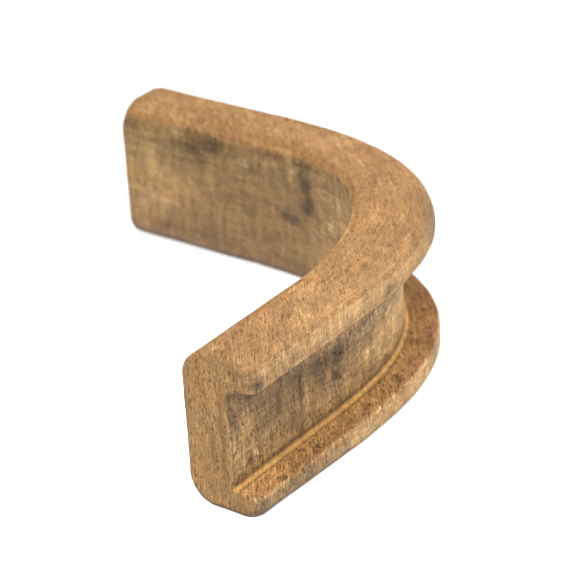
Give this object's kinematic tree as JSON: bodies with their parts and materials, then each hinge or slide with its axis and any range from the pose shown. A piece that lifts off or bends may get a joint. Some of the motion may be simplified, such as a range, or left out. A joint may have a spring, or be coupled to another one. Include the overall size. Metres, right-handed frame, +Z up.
{
  "type": "wooden yoke bow",
  "caption": "Right-angle wooden bow carved from one block, with a channel round the outside of its bend for a rope or strap.",
  "frame": {"origin": "on the underside at the middle of the bend, directly below the channel floor", "axes": "+Z up, square to the underside; +X out of the bend, the way the channel opens at its middle; the two legs run back towards -X and the bow is mirrored across the XZ plane"},
  "size_m": [0.1072, 0.2478, 0.06],
  "materials": {
    "wood": "dry, unfinished open-pored hardwood, darkened and worn by handling"
  },
  "bodies": {
    "root": {"yoke_bow": "wood"}
  },
  "joints": []
}
